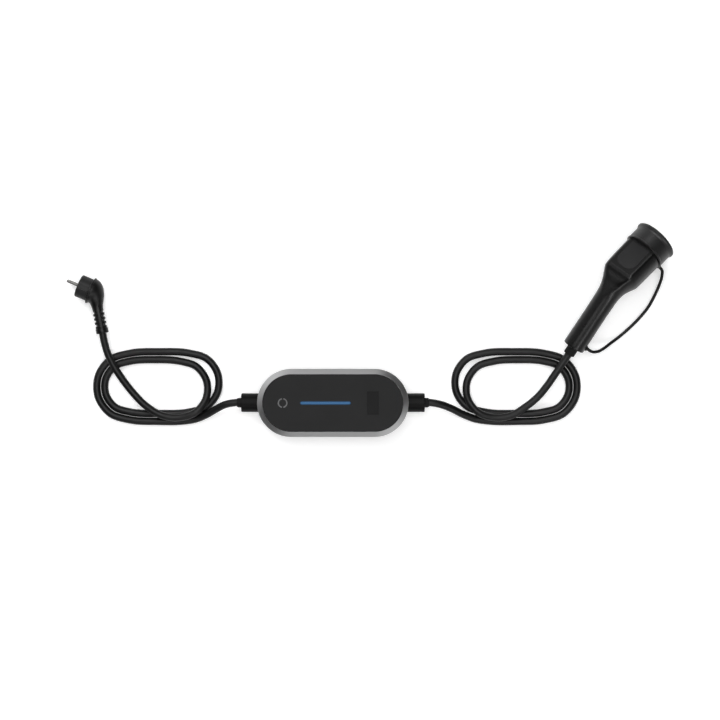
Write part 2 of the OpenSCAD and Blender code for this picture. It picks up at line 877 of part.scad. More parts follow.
module plug_pins() {
    r = pin_d / 2;
    color([0.75, 0.75, 0.77])
        at_plug()
            for (z = [-1, 1])
                translate([0, 0, z * pin_pitch / 2])
                    rotate([0, 90, 0])
                        rotate_extrude()
                            polygon([[0, -pin_root], [pin_shank_r, -pin_root], [pin_shank_r, 0], [r, 0],
                                [r, pin_l - pin_tip], [r - pin_tip, pin_l], [0, pin_l]]);
}

module earth_clips() {
    floor_y = face_d / 2 - clip_recess;
    color([0.72, 0.72, 0.74])
        at_plug()
            for (y = [-1, 1])
                mirror([0, y < 0 ? 1 : 0, 0])
                    translate([0, 0, -clip_w / 2])
                        linear_extrude(clip_w)
                            polygon([[-face_depth, floor_y], [-face_depth, floor_y + clip_t],
                                [-face_depth * 0.55, floor_y + clip_recess - 0.2],
                                [-face_depth * 0.4, floor_y + clip_recess - 0.2], [-1.5, floor_y + clip_t],
                                [-1.5, floor_y], [-face_depth * 0.4, floor_y + clip_recess - 0.2 - clip_t],
                                [-face_depth * 0.55, floor_y + clip_recess - 0.2 - clip_t]]);
}

module earth_sleeve() {
    color([0.7, 0.6, 0.3])
        at_plug()
            translate([0, -earth_offset, 0])
                rotate([0, -90, 0])
                    difference() {
                        cylinder(r = earth_sleeve_r, h = earth_depth);
                        translate([0, 0, -1])
                            cylinder(r = earth_bore_r, h = earth_depth + 2);
                    }
}

// Connector housing: rings of [distance along the axis, share of the bend, radius, flat height].
// Negative distances lie on the handle, positive ones on the head.
handle_r = handle_d / 2;
head_r = head_d / 2;
housing_stations = [[-handle_l, 1, handle_r, handle_r], [-handle_l + 1.2, 1, handle_r + 0.3, handle_r + 0.3],
    [-70, 1, handle_r, handle_r], [-46, 1, handle_r + 0.3, handle_r + 0.3],
    [-34, 0.95, handle_r + 0.8, handle_r + 0.35], [-25, 0.85, handle_r + 2.2, handle_r + 0.4],
    [-17, 0.7, handle_r + 4.8, handle_r + 0.5], [-9, 0.5, head_r - 6, handle_r + 0.8],
    [-1, 0.25, head_r - 2, handle_r + 1.5], [crease_x, 0, head_r - 0.6, flat_h],
    [crease_x + 10, 0, head_r, flat_h], [head_front_x - 1, 0, head_r + 0.4, flat_h],
    [head_front_x, 0, head_r - 0.4, flat_h]];
section_steps = 22;

// Centre of a housing ring, on the handle's or the head's axis
function axis_point(s) = s < 0 ? handle_point(-s) : [s, 0, 0];
// Point of a round section with a flat top, in the ring's own plane
function flat_round(r, f, a) = [r * cos(a), min(r * sin(a), f)];
function placed(c, g, p) = c + [-p[1] * sin(g), p[0], p[1] * cos(g)];
// Half of the hollow section: outer edge one way round, inner edge back again
function half_section(st, a0) =
    let (c = axis_point(st[0]), g = bend_angle * st[1], n = section_steps)
    concat(
        [for (i = [0:n]) placed(c, g, flat_round(st[2], st[3], a0 + 180 * i / n))],
        [for (i = [n:-1:0]) placed(c, g, flat_round(st[2] - shell_t, st[3] - shell_t, a0 + 180 * i / n))]);

module connector_upper_shell() {
    color([0.022, 0.022, 0.024])
        at_connector()
            half_skin([for (st = housing_stations) half_section(st, 0)]);
}

module connector_lower_shell() {
    color([0.022, 0.022, 0.024])
        at_connector()
            half_skin([for (st = housing_stations) half_section(st, 180)]);
}

module badge_plate() {
    color([0.05, 0.05, 0.052])
        at_connector()
            translate([head_front_x - 1.2 - plate_l, 0, flat_h])
                linear_extrude(plate_t)
                    union() {
                        translate([plate_corner, -plate_w / 2])
                            square([plate_l - plate_corner, plate_w]);
                        translate([0, plate_corner - plate_w / 2])
                            square([plate_corner + eps, plate_w - 2 * plate_corner]);
                        for (y = [-1, 1])
                            translate([plate_corner, y * (plate_w / 2 - plate_corner)])
                                circle(plate_corner, $fn = 48);
                    }
}

// Round outline with a flat top, seen from the front of the connector
module flat_round_outline(r, f) {
    intersection() {
        circle(r, $fn = 72);
        translate([-r - 1, -r - 1])
            square([2 * r + 2, r + 1 + f]);
    }
}

// Plate or plug of that outline across the head's axis
module head_slice(x, t, r, f) {
    translate([x, 0, 0])
        rotate([90, 0, 90])
            linear_extrude(t)
                flat_round_outline(r, f);
}

nose_r = nose_d / 2;
carrier_r = nose_r - nose_wall - 0.1;
carrier_flat = nose_flat_h - nose_wall - 0.1;
carrier_front = head_front_x + nose_l - carrier_recess;
carrier_l = contact_depth + nose_base_t;
contact_l = carrier_l + 4;

module connector_nose() {
    base_r = head_r - 0.4 - shell_t - fit_gap;
    base_flat = flat_h - shell_t - fit_gap;
    color([0.03, 0.03, 0.032])
        at_connector()
            difference() {
                union() {
                    head_slice(head_front_x - nose_base_t, nose_base_t + eps, base_r, base_flat);
                    head_slice(head_front_x, nose_l, nose_r, nose_flat_h);
                }
                head_slice(head_front_x + nose_step, nose_l, nose_r - nose_wall, nose_flat_h - nose_wall);
                head_slice(head_front_x - nose_base_t - 1, nose_base_t + nose_step + 2, wire_way_r,
                    wire_way_flat);
            }
}

module contact_carrier() {
    color([0.04, 0.04, 0.042])
        at_connector()
            difference() {
                head_slice(carrier_front - carrier_l, carrier_l, carrier_r, carrier_flat);
                contact_holes(power_places, power_r + 0.05, carrier_l + 2);
                contact_holes(signal_places, signal_r + 0.05, carrier_l + 2);
                contact_holes(blank_places, power_r, 4);
            }
}

// Round holes into the front of the contact carrier
module contact_holes(places, r, depth) {
    for (p = places)
        translate([carrier_front + 1, p[0], p[1]])
            rotate([0, -90, 0])
                cylinder(r = r, h = depth + 1);
}

// Hollow contact sleeves, set a little behind the carrier's face
module contact_sleeves(places, r, bore_r) {
    for (p = places)
        translate([carrier_front - contact_inset, p[0], p[1]])
            rotate([0, -90, 0])
                difference() {
                    cylinder(r = r, h = contact_l);
                    translate([0, 0, -1])
                        cylinder(r = bore_r, h = contact_depth + 1);
                }
}

module power_contacts() {
    color([0.75, 0.72, 0.65])
        at_connector()
            contact_sleeves(power_places, power_r, power_bore_r);
}

module signal_contacts() {
    color([0.75, 0.72, 0.65])
        at_connector()
            contact_sleeves(signal_places, signal_r, signal_bore_r);
}

// Insulated wires from the cable's cut end to the backs of the contacts
module contact_wires(places, r) {
    back_x = carrier_front - contact_inset - contact_l;
    for (p = places) {
        lay = wire_bunch * [0, p[0], p[1]];
        tube([handle_point(jacket_end_s - 0.4) + lay, handle_point(jacket_end_s - 10) + lay,
            handle_point(30) + 1.5 * lay, [8, p[0] * 0.6, p[1] * 0.6], [back_x - 14, p[0], p[1]],
            [back_x - 0.3, p[0], p[1]]], r, 8);
    }
}

module connector_wires() {
    color([0.3, 0.2, 0.1])
        at_connector() {
            contact_wires(power_places, wire_d / 2);
            contact_wires(signal_places, signal_wire_r);
        }
}

module strain_relief_bush() {
    root_r = handle_r - shell_t - 0.1;
    bush_r = bush_d / 2;
    bore_r = cable_d / 2 + 0.05;
    color([0.02, 0.02, 0.022])
        at_connector()
            at_handle(handle_l)
                rotate_extrude()
                    polygon([[bore_r, -bush_root], [root_r, -bush_root], [root_r, -0.8], [bush_r + 0.8, -0.8],
                        [bush_r, 0.4], [bush_r, bush_l - 1], [bush_r - 1, bush_l], [bore_r, bush_l]]);
}

module tether_anchor() {
    color([0.03, 0.03, 0.03])
        at_connector()
            translate(handle_point(anchor_s) + anchor_seat * anchor_side)
                rotate([0, -bend_angle, 0])
                    rotate([90 - anchor_turn, 0, 0])
                        rotate_extrude()
                            polygon([[0, 0], [anchor_r, 0], [anchor_r, 1.2], [tether_d / 2 + 0.6, 2],
                                [tether_d / 2 + 0.3, anchor_l], [0, anchor_l]]);
}

module cap() {
    r = cap_d / 2;
    rim_r = rim_d / 2;
    rim_l = 3.4;
    flare_l = 5;
    lip = 0.9;
    front = cap_front_x - cap_x;
    color([0.024, 0.024, 0.026])
        at_connector()
            difference() {
                union() {
                    translate([cap_x, 0, 0])
                        rotate([0, 90, 0])
                            rotate_extrude($fn = 96)
                                polygon([[0, 0], [r + lip - 0.4, 0], [r + lip, 0.5], [r + lip, 2], [r, 3],
                                    [r, front - rim_l - flare_l], [r + 0.6, front - rim_l - flare_l / 2],
                                    [rim_r, front - rim_l], [rim_r, front - 0.8], [rim_r - 0.8, front],
                                    [0, front]]);
                    translate([lug_x, 0, 0] + (r - 2) * lug_side)
                        rotate([90 - lug_turn, 0, 0])
                            rotate_extrude()
                                polygon([[0, 0], [lug_r, 0], [lug_r, 3.4], [tether_d / 2 + 0.4, lug_l + 2],
                                    [0, lug_l + 2]]);
                }
                head_slice(cap_x - 1, front - cap_t + 1, nose_r + slide_gap, nose_flat_h + slide_gap);
            }
}

rear_shell();
bezel_frame();
front_panel();
light_bar();
touch_ring();
display_window();
display_module();
panel_board();
touch_electrode();
leds();
main_board();
line_relay();
neutral_relay();
residual_current_sensor();
supply_transformer();
supply_capacitor();
surge_varistor();
terminal_block_in();
terminal_block_out();
inlet_conductors();
outlet_conductors();
housing_gasket();
cover_screws();
gland_plug_side();
gland_connector_side();
gland_nuts();
gland_seals();
plug_cable();
plug_body();
plug_insert();
plug_pins();
earth_clips();
earth_sleeve();
connector_cable();
connector_upper_shell();
connector_lower_shell();
badge_plate();
connector_nose();
contact_carrier();
power_contacts();
signal_contacts();
connector_wires();
strain_relief_bush();
tether_anchor();
cap();
tether();
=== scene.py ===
import math

import bmesh
import bpy
from mathutils import Euler, Matrix, Vector


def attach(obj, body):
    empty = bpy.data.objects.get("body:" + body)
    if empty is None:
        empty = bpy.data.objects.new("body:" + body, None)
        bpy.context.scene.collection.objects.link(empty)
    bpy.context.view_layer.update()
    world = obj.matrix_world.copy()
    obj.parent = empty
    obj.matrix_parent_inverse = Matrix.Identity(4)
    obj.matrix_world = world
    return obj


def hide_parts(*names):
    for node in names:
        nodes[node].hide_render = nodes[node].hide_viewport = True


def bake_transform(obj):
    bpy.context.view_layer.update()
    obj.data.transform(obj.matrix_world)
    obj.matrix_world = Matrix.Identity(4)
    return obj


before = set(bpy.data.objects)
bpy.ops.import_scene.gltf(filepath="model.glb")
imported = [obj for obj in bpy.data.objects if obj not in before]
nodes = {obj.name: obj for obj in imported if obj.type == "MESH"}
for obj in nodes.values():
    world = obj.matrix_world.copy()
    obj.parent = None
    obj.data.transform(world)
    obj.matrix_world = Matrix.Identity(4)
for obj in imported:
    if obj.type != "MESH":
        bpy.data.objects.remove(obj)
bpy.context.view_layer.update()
scene = bpy.context.scene
scene.view_settings.view_transform = "Standard"
MM = 0.001


# Places, in millimetres, repeated from the part's source

BOX_HALF_RUN = 66.0
BOX_END_R = 54.0
SPLIT_HEIGHT = 42.0
PANEL_TOP = 53.2
BAR_X, BAR_L, BAR_W = -11.6, 78.6, 3.8
CABLE_D = 12.0
TETHER_D = 5.0
PLUG_AT = Vector((-406.0, 187.0, 21.5))
PLUG_HEADING = 157.0
BOOT_ANGLE = 124.2
BOOT_LENGTH = 44.5
NECK_AT = Vector((-40.0, 18.6, 0.0))
HANDLE_L = 134.0
BEND = 27.0
HEAD_FRONT = 56.0
FLAT_H = 22.0
CREASE_X = 4.0
CONNECTOR_AT = Vector((453.5, 199.4, 53.518))
CONNECTOR_TURN = Euler((math.radians(-28), math.radians(12), math.radians(45)), "XYZ")

plug_frame = Matrix.Translation(PLUG_AT) @ Matrix.Rotation(math.radians(PLUG_HEADING), 4, "Z")
connector_frame = Matrix.Translation(CONNECTOR_AT) @ CONNECTOR_TURN.to_matrix().to_4x4()


def handle_point(s):
    """Point on the handle's axis, s behind the bend, in the connector's own frame."""
    return Vector((-s * math.cos(math.radians(BEND)), 0, -s * math.sin(math.radians(BEND))))


def half_turn(x, y0, y1, side, heights):
    """Half a turn of the coil, from one straight run to the next."""
    centre, r = (y0 + y1) / 2, abs(y1 - y0) / 2
    start = -90 if y1 > y0 else 90
    last = len(heights) - 1
    turn = []
    for i, z in enumerate(heights):
        a = math.radians(start * (1 - 2 * i / last))
        turn.append((x + side * r * math.cos(a), centre + r * math.sin(a), z))
    return turn


FLAT = [6.0] * 6
CLIMBING = [6.0, 6.0, 7.0, 12.5, 18.8, 17.2]
RUN_BOW = 2.5
coil = (half_turn(-326, -28, 78.8, -1, FLAT) + [(-278, 78.8 + RUN_BOW, 6)]
        + half_turn(-230, 78.8, -15.2, 1, FLAT) + [(-278, -15.2 - RUN_BOW, 6)]
        + half_turn(-326, -15.2, 66, -1, FLAT) + [(-286, 66 + RUN_BOW, 6)]
        + half_turn(-246, 66, -24, 1, CLIMBING))
boot_way = Vector((math.cos(math.radians(BOOT_ANGLE)), math.sin(math.radians(BOOT_ANGLE)), 0))
plug_route = [(-130, 0, 26), (-156, 0, 26), (-172, -3, 23.5), (-188, -11, 17.5), (-204, -20, 11),
              (-220, -26.5, 7), (-242, -30, 6), (-282, -30.5, 6)] + coil + [
              (-272, -21, 17.8), (-298, -6, 18.6), (-320, 16, 18.8), (-337, 38, 19), (-350, 58, 19.4),
              (-360, 79, 20.2), (-365.4, 98, 21.2),
              plug_frame @ (NECK_AT + BOOT_LENGTH * boot_way),
              plug_frame @ (NECK_AT + (BOOT_LENGTH - 28) * boot_way)]
connector_route = [(130, 0, 26), (156, 0, 26), (172, -3, 23.5), (190, -10, 18), (208, -19, 11.5),
                   (228, -26.5, 7), (252, -30, 6), (292, -30.5, 6)] + [(12 - x, y, z) for x, y, z in coil] + [
                   (284, -21, 17.8), (306, -8, 18.5), (326, 8, 18.8), (342, 27, 19.1), (355, 46, 19.8),
                   connector_frame @ handle_point(HANDLE_L + 14),
                   connector_frame @ handle_point(HANDLE_L - 54)]
tether_route = [(520.63, 215.57, 27.59), (524.1, 211.53, 25.7), (525, 202, 20.5), (522, 188, 12),
                (516, 172, 4.6), (505, 152, 2.8), (492, 136, 2.8), (475, 119, 2.8), (458, 104.5, 3),
                (445, 95, 6.5), (433, 86.5, 13.5), (422.5, 81.5, 20), (411.76, 81.63, 25.27),
                (406.95, 84.57, 25.75)]


def eased(points, steps):
    """One smooth curve through the points, in metres, with its speed set by the gaps between them."""
    pts = [Vector(p) * MM for p in points]
    gaps = [(b - a).length for a, b in zip(pts, pts[1:])]
    slopes = []
    for i in range(len(pts)):
        if i == 0:
            slopes.append((pts[1] - pts[0]) / gaps[0])
        elif i == len(pts) - 1:
            slopes.append((pts[-1] - pts[-2]) / gaps[-1])
        else:
            before, after = (pts[i] - pts[i - 1]) / gaps[i - 1], (pts[i + 1] - pts[i]) / gaps[i]
            slopes.append((before * gaps[i] + after * gaps[i - 1]) / (gaps[i - 1] + gaps[i]))
    line = []
    for i, gap in enumerate(gaps):
        for k in range(steps):
            t = k / steps
            line.append(pts[i] * (2 * t**3 - 3 * t**2 + 1) + slopes[i] * gap * (t**3 - 2 * t**2 + t)
                        + pts[i + 1] * (3 * t**2 - 2 * t**3) + slopes[i + 1] * gap * (t**3 - t**2))
    line.append(pts[-1])
    return line


# Camera straight above the box, as in the photograph

def overhead_camera():
    data = bpy.data.cameras.new("overhead_camera")
    data.lens = 100
    data.sensor_width = 36
    data.clip_end = 40
    camera = bpy.data.objects.new("overhead_camera", data)
    camera.location = (0.043, 0.068, 3.214)
    scene.collection.objects.link(camera)
    scene.camera = camera


overhead_camera()


def place(name, data):
    obj = bpy.data.objects.new(name, data)
    scene.collection.objects.link(obj)
    return obj


def round_cable(name, line, diameter):
    """Jacketed cable along a line, as one open spline with closed ends."""
    curve = bpy.data.curves.new(name, "CURVE")
    curve.dimensions = "3D"
    spline = curve.splines.new("POLY")
    spline.points.add(len(line) - 1)
    for point, at in zip(spline.points, line):
        point.co = (*at, 1)
    curve.bevel_depth = diameter / 2
    curve.bevel_resolution = 6
    curve.use_fill_caps = True
    return place(name, curve)


def mesh_piece(name, bm, smooth=40):
    """Object from a bmesh, with edges sharper than the given angle left crisp."""
    mesh = bpy.data.meshes.new(name)
    bmesh.ops.recalc_face_normals(bm, faces=bm.faces)
    bm.to_mesh(mesh)
    bm.free()
    mesh.shade_smooth()
    mesh.set_sharp_from_angle(angle=math.radians(smooth))
    return place(name, mesh)


def bridge_rings(bm, rings, closed=True):
    """Skins a row of equal rings of vertices."""
    count = len(rings[0])
    for a, b in zip(rings, rings[1:]):
        for i in range(count if closed else count - 1):
            j = (i + 1) % count
            bm.faces.new((a[i], a[j], b[j], b[i]))


def hose(name, line, radii, sides=20):
    """Round tube with its own radius at each point of a line, and flat ends."""
    bm = bmesh.new()
    rings = []
    across = None
    for i, at in enumerate(line):
        way = (line[min(i + 1, len(line) - 1)] - line[max(i - 1, 0)]).normalized()
        if across is None:
            across = way.orthogonal().normalized()
        across = (across - way * across.dot(way)).normalized()
        other = way.cross(across)
        rings.append([bm.verts.new(at + radii[i] * (math.cos(a) * across + math.sin(a) * other))
                      for a in (2 * math.pi * k / sides for k in range(sides))])
    bridge_rings(bm, rings)
    bm.faces.new(rings[0])
    bm.faces.new(rings[-1])
    return mesh_piece(name, bm)


plug_line = eased(plug_route, 8)
connector_line = eased(connector_route, 8)
tether_line = eased(tether_route, 8)
plug_cord = round_cable("plug_cord", plug_line, CABLE_D * MM)
connector_cord = round_cable("connector_cord", connector_line, CABLE_D * MM)
cap_tether = hose("cap_tether", tether_line, [TETHER_D / 2 * MM] * len(tether_line))


# Effects that several finishes share

def effect(name, inputs, outputs):
    """Empty shader node group with named sockets."""
    group = bpy.data.node_groups.new(name, "ShaderNodeTree")
    for label, default in inputs:
        socket = group.interface.new_socket(label, in_out="INPUT", socket_type="NodeSocketFloat")
        socket.default_value = default
    for label in outputs:
        group.interface.new_socket(label, in_out="OUTPUT", socket_type="NodeSocketFloat")
    return group, group.nodes.new("NodeGroupInput"), group.nodes.new("NodeGroupOutput")


def add(tree, kind, **settings):
    node = tree.nodes.new(kind)
    for key, value in settings.items():
        setattr(node, key, value)
    return node


def moulded_grain():
    """Spark-eroded mould texture: fine grain height, and a slow mottle of the tone."""
    group, given, out = effect("moulded_grain", [("Scale", 900.0), ("Mottle Scale", 24.0)],
                               ["Height", "Mottle"])
    where = add(group, "ShaderNodeTexCoord")
    fine = add(group, "ShaderNodeTexNoise")
    fine.inputs["Detail"].default_value = 3
    cells = add(group, "ShaderNodeTexVoronoi", feature="SMOOTH_F1")
    slow = add(group, "ShaderNodeTexNoise")
    slow.inputs["Detail"].default_value = 4
    mix = add(group, "ShaderNodeMath", operation="MULTIPLY_ADD")
    mix.inputs[1].default_value = 0.6
    link = group.links.new
    for texture in (fine, cells, slow):
        link(where.outputs["Object"], texture.inputs["Vector"])
    link(given.outputs["Scale"], fine.inputs["Scale"])
    link(given.outputs["Scale"], cells.inputs["Scale"])
    link(given.outputs["Mottle Scale"], slow.inputs["Scale"])
    link(cells.outputs["Distance"], mix.inputs[0])
    link(fine.outputs["Fac"], mix.inputs[2])
    link(mix.outputs[0], out.inputs["Height"])
    link(slow.outputs["Fac"], out.inputs["Mottle"])
    return group


def hand_polish():
    """Patches that handling has rubbed smoother, from 0 to 1."""
    group, given, out = effect("hand_polish", [("Scale", 9.0), ("Spread", 0.5)], ["Mask"])
    where = add(group, "ShaderNodeTexCoord")
    patches = add(group, "ShaderNodeTexNoise")
    patches.inputs["Detail"].default_value = 5
    patches.inputs["Roughness"].default_value = 0.62
    ramp = add(group, "ShaderNodeMapRange", interpolation_type="SMOOTHSTEP")
    low = add(group, "ShaderNodeMath", operation="SUBTRACT")
    low.inputs[0].default_value = 0.55
    high = add(group, "ShaderNodeMath", operation="ADD")
    high.inputs[0].default_value = 0.55
    half = add(group, "ShaderNodeMath", operation="MULTIPLY")
    half.inputs[1].default_value = 0.4
    link = group.links.new
    link(where.outputs["Object"], patches.inputs["Vector"])
    link(given.outputs["Scale"], patches.inputs["Scale"])
    link(given.outputs["Spread"], half.inputs[0])
    link(half.outputs[0], low.inputs[1])
    link(half.outputs[0], high.inputs[1])
    link(patches.outputs["Fac"], ramp.inputs["Value"])
    link(low.outputs[0], ramp.inputs["From Min"])
    link(high.outputs[0], ramp.inputs["From Max"])
    link(ramp.outputs["Result"], out.inputs["Mask"])
    return group


def worn_edge():
    """Paler line along the outward edges of a piece, from 0 to 1."""
    group, given, out = effect("worn_edge", [("Start", 0.52), ("Full", 0.62)], ["Mask"])
    shape = add(group, "ShaderNodeNewGeometry")
    ramp = add(group, "ShaderNodeMapRange", interpolation_type="SMOOTHSTEP")
    link = group.links.new
    link(shape.outputs["Pointiness"], ramp.inputs["Value"])
    link(given.outputs["Start"], ramp.inputs["From Min"])
    link(given.outputs["Full"], ramp.inputs["From Max"])
    link(ramp.outputs["Result"], out.inputs["Mask"])
    return group


GRAIN = moulded_grain()
POLISH = hand_polish()
EDGE = worn_edge()


def use(tree, group, **values):
    node = add(tree, "ShaderNodeGroup", node_tree=group)
    for label, value in values.items():
        node.inputs[label.replace("_", " ")].default_value = value
    return node


def tone(tree, factor, dark, light):
    """Colour between two tones, by a mask."""
    mix = add(tree, "ShaderNodeMix", data_type="RGBA")
    mix.inputs["A"].default_value = (*dark, 1)
    mix.inputs["B"].default_value = (*light, 1)
    tree.links.new(factor, mix.inputs["Factor"])
    return mix.outputs["Result"]


def between(tree, factor, low, high):
    """Value between two limits, by a mask."""
    ramp = add(tree, "ShaderNodeMapRange")
    ramp.inputs["To Min"].default_value = low
    ramp.inputs["To Max"].default_value = high
    tree.links.new(factor, ramp.inputs["Value"])
    return ramp.outputs["Result"]


def finish_base(name):
    material = bpy.data.materials.new(name)
    material.use_nodes = True
    return material, material.node_tree, material.node_tree.nodes["Principled BSDF"]


def moulding(name, dark, light, rough, polished, grain=900.0, depth=0.06, specular=0.4, edge=0.0):
    """Moulded plastic or rubber: surface grain, mottled tone, patches polished by hands, paler edges."""
    material, tree, shader = finish_base(name)
    surface = use(tree, GRAIN, Scale=grain)
    hands = use(tree, POLISH)
    colour = tone(tree, surface.outputs["Mottle"], dark, light)
    if edge:
        rim = use(tree, EDGE)
        lift = add(tree, "ShaderNodeMix", data_type="RGBA")
        share = between(tree, rim.outputs["Mask"], 0, edge)
        tree.links.new(share, lift.inputs["Factor"])
        tree.links.new(colour, lift.inputs["A"])
        lift.inputs["B"].default_value = (*[min(1, 3 * c + 0.02) for c in light], 1)
        colour = lift.outputs["Result"]
    bump = add(tree, "ShaderNodeBump")
    bump.inputs["Strength"].default_value = depth
    bump.inputs["Distance"].default_value = 0.0002
    tree.links.new(colour, shader.inputs["Base Color"])
    tree.links.new(between(tree, hands.outputs["Mask"], rough, polished), shader.inputs["Roughness"])
    tree.links.new(surface.outputs["Height"], bump.inputs["Height"])
    tree.links.new(bump.outputs["Normal"], shader.inputs["Normal"])
    shader.inputs["Specular IOR Level"].default_value = specular
    return material


def metal(name, dark, light, rough, polished, metallic=1.0, grain=1400.0, depth=0.03):
    """Plated or coated metal with a fine grain and rubbed patches."""
    material = moulding(name, dark, light, rough, polished, grain, depth, 0.5)
    material.node_tree.nodes["Principled BSDF"].inputs["Metallic"].default_value = metallic
    return material


def grey(value):
    """Neutral linear tone for an sRGB level from 0 to 255."""
    c = value / 255
    c = c / 12.92 if c <= 0.04045 else ((c + 0.055) / 1.055) ** 2.4
    return (c, c, c * 1.02)


# Finishes

shell_black = moulding("shell_black", grey(32), grey(40), 0.55, 0.44, specular=0.25, edge=0.2)
panel_matte = moulding("panel_matte", grey(35), grey(39), 0.66, 0.56, 1500.0, 0.04, 0.08)
bezel_satin = metal("bezel_satin", (0.54, 0.54, 0.545), (0.56, 0.56, 0.565), 0.31, 0.29, 0.97, 700.0, 0.001)
icon_print = moulding("icon_print", grey(92), grey(100), 0.6, 0.5, 1500.0, 0.02, 0.15)
display_smoked = moulding("display_smoked", grey(25), grey(28), 0.5, 0.42, 1800.0, 0.004, 0.06)
gland_satin = moulding("gland_satin", grey(6), grey(8), 0.46, 0.38, specular=0.08, edge=0.06)
seal_rubber = moulding("seal_rubber", grey(11), grey(15), 0.66, 0.56, 700.0, 0.1, 0.14)
jacket_satin = moulding("jacket_satin", grey(9), grey(13), 0.44, 0.36, 600.0, 0.08, 0.24)
plug_soft = moulding("plug_soft", grey(8), grey(12), 0.4, 0.32, 800.0, 0.07, 0.24, edge=0.12)
insert_black = moulding("insert_black", grey(20), grey(25), 0.5, 0.4, 1000.0, 0.05, 0.2, edge=0.2)
connector_satin = moulding("connector_satin", grey(4), grey(6), 0.3, 0.25, 800.0, 0.04, 0.32, edge=0.06)
plate_matte = moulding("plate_matte", grey(40), grey(44), 0.62, 0.54, 1200.0, 0.05, 0.1)
cap_rubber = moulding("cap_rubber", grey(19), grey(24), 0.42, 0.34, 700.0, 0.06, 0.4, edge=0.12)
tether_rubber = moulding("tether_rubber", grey(9), grey(13), 0.46, 0.38, 700.0, 0.08, 0.22)
pin_nickel = metal("pin_nickel", (0.14, 0.137, 0.13), (0.17, 0.167, 0.16), 0.36, 0.3)
contact_silver = metal("contact_silver", (0.66, 0.63, 0.56), (0.76, 0.73, 0.66), 0.26, 0.2)
screw_zinc = metal("screw_zinc", (0.48, 0.48, 0.49), (0.6, 0.6, 0.61), 0.34, 0.26)
foil_copper = metal("foil_copper", (0.55, 0.27, 0.12), (0.68, 0.36, 0.18), 0.35, 0.28)
board_mask = moulding("board_mask", (0.012, 0.14, 0.06), (0.02, 0.19, 0.085), 0.4, 0.3, 500.0, 0.08)
relay_blue = moulding("relay_blue", (0.03, 0.06, 0.2), (0.045, 0.085, 0.26), 0.5, 0.4)
part_dark = moulding("part_dark", grey(40), grey(52), 0.5, 0.4)
tape_yellow = moulding("tape_yellow", (0.55, 0.4, 0.05), (0.68, 0.5, 0.08), 0.42, 0.34)
terminal_green = moulding("terminal_green", (0.03, 0.22, 0.08), (0.05, 0.3, 0.12), 0.5, 0.4)
wire_brown = moulding("wire_brown", (0.12, 0.055, 0.022), (0.17, 0.08, 0.035), 0.5, 0.42)


def bar_light():
    """Lit diffuser: glowing blue with a slow mottle of its tone."""
    material, tree, shader = finish_base("bar_light")
    surface = use(tree, GRAIN, Scale=1200.0, Mottle_Scale=60.0)
    colour = tone(tree, surface.outputs["Mottle"], (0.011, 0.068, 0.165), (0.016, 0.084, 0.195))
    tree.links.new(colour, shader.inputs["Base Color"])
    tree.links.new(colour, shader.inputs["Emission Color"])
    tree.links.new(between(tree, surface.outputs["Height"], 0.3, 0.42), shader.inputs["Roughness"])
    shader.inputs["Emission Strength"].default_value = 0.35
    shader.inputs["Specular IOR Level"].default_value = 0.2
    return material


bar_blue = bar_light()

finish_of = {
    shell_black: ["rear_shell"],
    panel_matte: ["front_panel"],
    bezel_satin: ["bezel_frame"],
    icon_print: ["touch_ring"],
    bar_blue: ["light_bar", "leds"],
    display_smoked: ["display_window"],
    gland_satin: ["gland_plug_side", "gland_connector_side", "gland_nuts"],
    seal_rubber: ["gland_seals", "housing_gasket", "strain_relief_bush"],
    jacket_satin: ["plug_cable", "connector_cable"],
    plug_soft: ["plug_body"],
    insert_black: ["plug_insert", "connector_nose", "contact_carrier"],
    pin_nickel: ["plug_pins", "earth_clips", "earth_sleeve"],
    contact_silver: ["power_contacts", "signal_contacts"],
    connector_satin: ["connector_upper_shell", "connector_lower_shell"],
    plate_matte: ["badge_plate"],
    cap_rubber: ["cap"],
    tether_rubber: ["tether", "tether_anchor"],
    screw_zinc: ["cover_screws"],
    foil_copper: ["touch_electrode"],
    board_mask: ["panel_board", "main_board"],
    relay_blue: ["line_relay", "neutral_relay", "surge_varistor"],
    part_dark: ["residual_current_sensor", "supply_capacitor", "display_module"],
    tape_yellow: ["supply_transformer"],
    terminal_green: ["terminal_block_in", "terminal_block_out"],
    wire_brown: ["inlet_conductors", "outlet_conductors", "connector_wires"],
}


def paint(obj, material):
    """Every slot of the object takes one finish."""
    slots = obj.material_slots
    if not slots:
        obj.data.materials.append(material)
    for slot in slots:
        slot.material = material


for material, names in finish_of.items():
    for name in names:
        paint(nodes[name], material)


def dress(obj, material, body="charger"):
    """A new piece takes its finish and rides on a body."""
    paint(obj, material)
    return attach(obj, body)


# Vehicle connector housing

HANDLE_R, HEAD_R, SHELL_T = 17.5, 32.0, 3.0
JOINT_GROOVE = 0.03

# Distance along the axis, share of the bend, radius and height of the flat
NECK_STATIONS = [(-HANDLE_L, 1, HANDLE_R - 0.7, HANDLE_R - 0.7), (0.7 - HANDLE_L, 1, HANDLE_R, HANDLE_R),
                 (2 - HANDLE_L, 1, HANDLE_R + 0.3, HANDLE_R + 0.3), (-110, 1, HANDLE_R + 0.2, HANDLE_R + 0.2),
                 (-70, 1, HANDLE_R, HANDLE_R), (-46, 1, HANDLE_R + 0.3, HANDLE_R + 0.3),
                 (-34, 0.95, HANDLE_R + 0.8, HANDLE_R + 0.35), (-25, 0.85, HANDLE_R + 2.2, HANDLE_R + 0.4),
                 (-17, 0.7, HANDLE_R + 4.8, HANDLE_R + 0.5), (-9, 0.5, HEAD_R - 6, HANDLE_R + 0.8),
                 (-1, 0.25, HEAD_R - 2, HANDLE_R + 1.5), (CREASE_X, 0, HEAD_R - 0.6, FLAT_H)]
